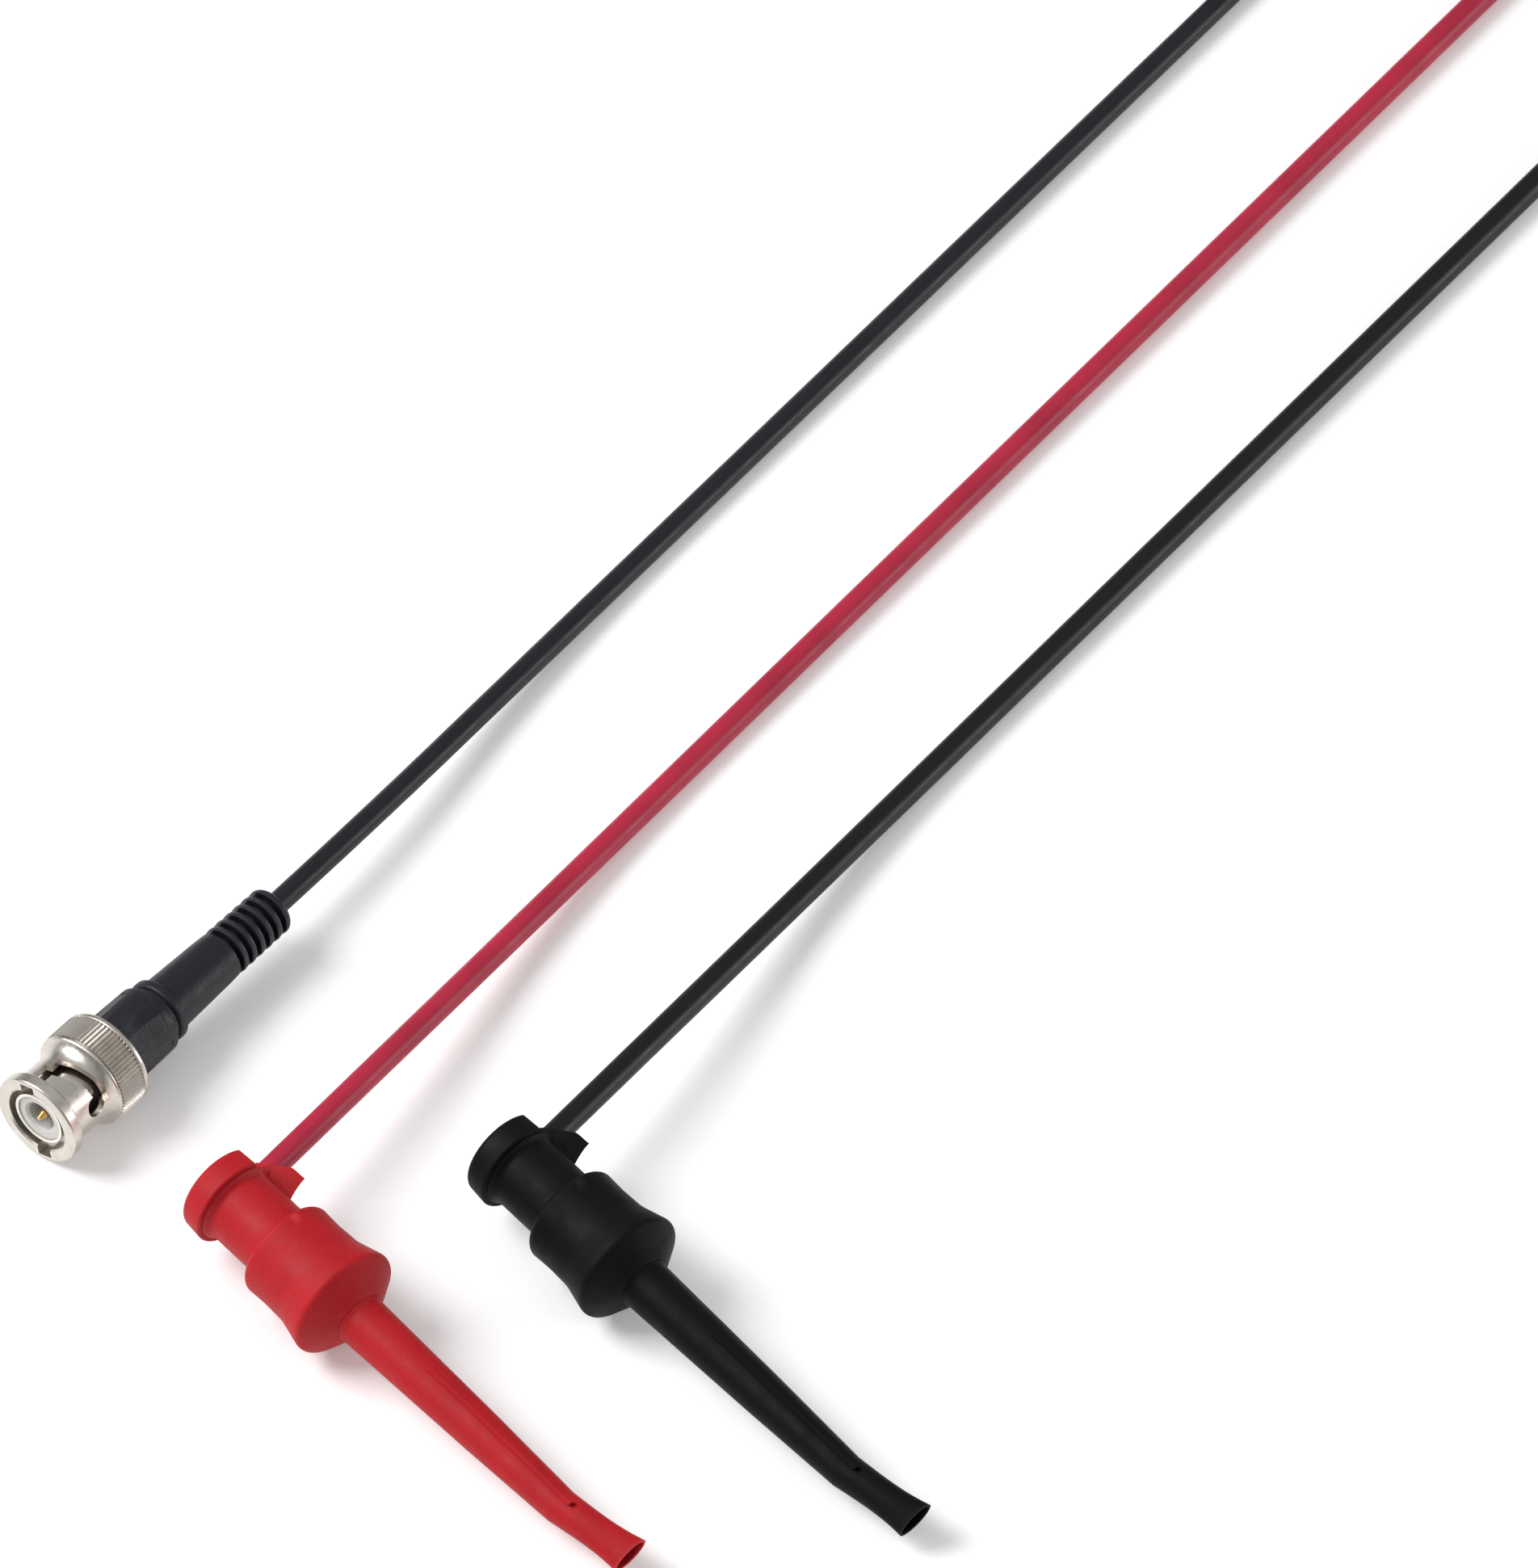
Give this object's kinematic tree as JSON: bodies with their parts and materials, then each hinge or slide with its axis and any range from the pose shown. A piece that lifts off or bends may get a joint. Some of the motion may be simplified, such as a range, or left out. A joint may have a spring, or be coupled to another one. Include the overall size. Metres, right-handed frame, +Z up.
{
  "type": "oscilloscope test lead",
  "caption": "Coaxial oscilloscope lead: a bayonet BNC plug with strain relief, a splitter, and red and black spring hook clips on flexible leads.",
  "frame": {"origin": "centre of the plug's mouth, in the plane of the coupling nut's front rim", "axes": "+X along the plug's axis towards its cable, +Z up from the bench, +Y to the left seen along +X"},
  "size_m": [0.3878, 0.1857, 0.0168],
  "materials": {
    "nickel": "nickel-plated brass, satin with fine turning lines",
    "nickel_bright": "bright nickel plate",
    "spring_steel": "bright drawn spring steel",
    "gasket_rubber": "matte silicone rubber",
    "insulator": "grey moulded insulator",
    "gold": "gold plate",
    "tinned_copper": "tinned copper",
    "dielectric": "natural polyethylene",
    "boot_black": "fine-grained black moulding with a slight blue cast",
    "coax_jacket": "dark grey PVC with a soft sheen",
    "tie": "hook-and-loop tape",
    "red_clip": "fine-grained matte red moulding",
    "black_clip": "fine-grained matte black moulding",
    "red_jacket": "smooth silicone jacket, satin",
    "black_jacket": "smooth silicone jacket, satin",
    "hook_wire": "gold-flashed spring wire",
    "brass": "plain brass"
  },
  "bodies": {
    "root": {"spring_washer": "spring_steel", "face_gasket": "gasket_rubber", "contact_body": "nickel_bright", "insulator": "insulator", "centre_pin": "gold", "crimp_ferrule": "nickel", "coax_braid_end": "tinned_copper", "coax_dielectric_end": "dielectric", "coax_conductor_end": "tinned_copper", "grip": "boot_black", "strain_relief_boot": "boot_black", "splitter_base": "boot_black", "splitter_top": "boot_black", "signal_splice": "tinned_copper", "ground_splice": "tinned_copper", "signal_lead_end": "tinned_copper", "signal_coax_end": "tinned_copper", "ground_lead_end": "tinned_copper", "ground_coax_end": "tinned_copper", "coax_coil": "coax_jacket", "coil_tie": "tie", "coax_cable": "coax_jacket", "coax_tail": "coax_jacket", "red_lead": "red_jacket", "black_lead": "black_jacket", "red_cap": "red_clip", "red_plunger": "red_clip", "red_hook": "hook_wire", "red_spring": "spring_steel", "red_terminal": "brass", "red_conductor": "tinned_copper", "black_cap": "black_clip", "black_plunger": "black_clip", "black_hook": "hook_wire", "black_spring": "spring_steel", "black_terminal": "brass", "black_conductor": "tinned_copper"},
    "coupling_slide": {"retaining_ring": "spring_steel", "thrust_washer": "nickel"},
    "coupling": {"coupling_nut": "nickel"},
    "red_barrel_body": {"red_barrel": "red_clip", "red_nozzle": "red_clip"},
    "black_barrel_body": {"black_barrel": "black_clip", "black_nozzle": "black_clip"}
  },
  "joints": [
    {"name": "coupling_spring_travel", "type": "slide", "parent": "root", "child": "coupling_slide", "axis": [-1, 0, 0], "range_m": [0, 0.0008], "stiffness_N_per_m": 6000, "springref_m": -0.0003, "deforming": ["spring_washer"]},
    {"name": "coupling_turn", "type": "hinge", "parent": "coupling_slide", "child": "coupling", "pos_m": [0, 0, 0], "axis": [-1, 0, 0], "continuous": true},
    {"name": "red_barrel_pull", "type": "slide", "parent": "root", "child": "red_barrel_body", "axis": [0.1448, 0.9863, 0.0785], "range_m": [0, 0.005], "stiffness_N_per_m": 300, "springref_m": -0.004, "deforming": ["red_spring"]},
    {"name": "black_barrel_pull", "type": "slide", "parent": "root", "child": "black_barrel_body", "axis": [0.1448, 0.9863, 0.0785], "range_m": [0, 0.005], "stiffness_N_per_m": 300, "springref_m": -0.004, "deforming": ["black_spring"]}
  ]
}
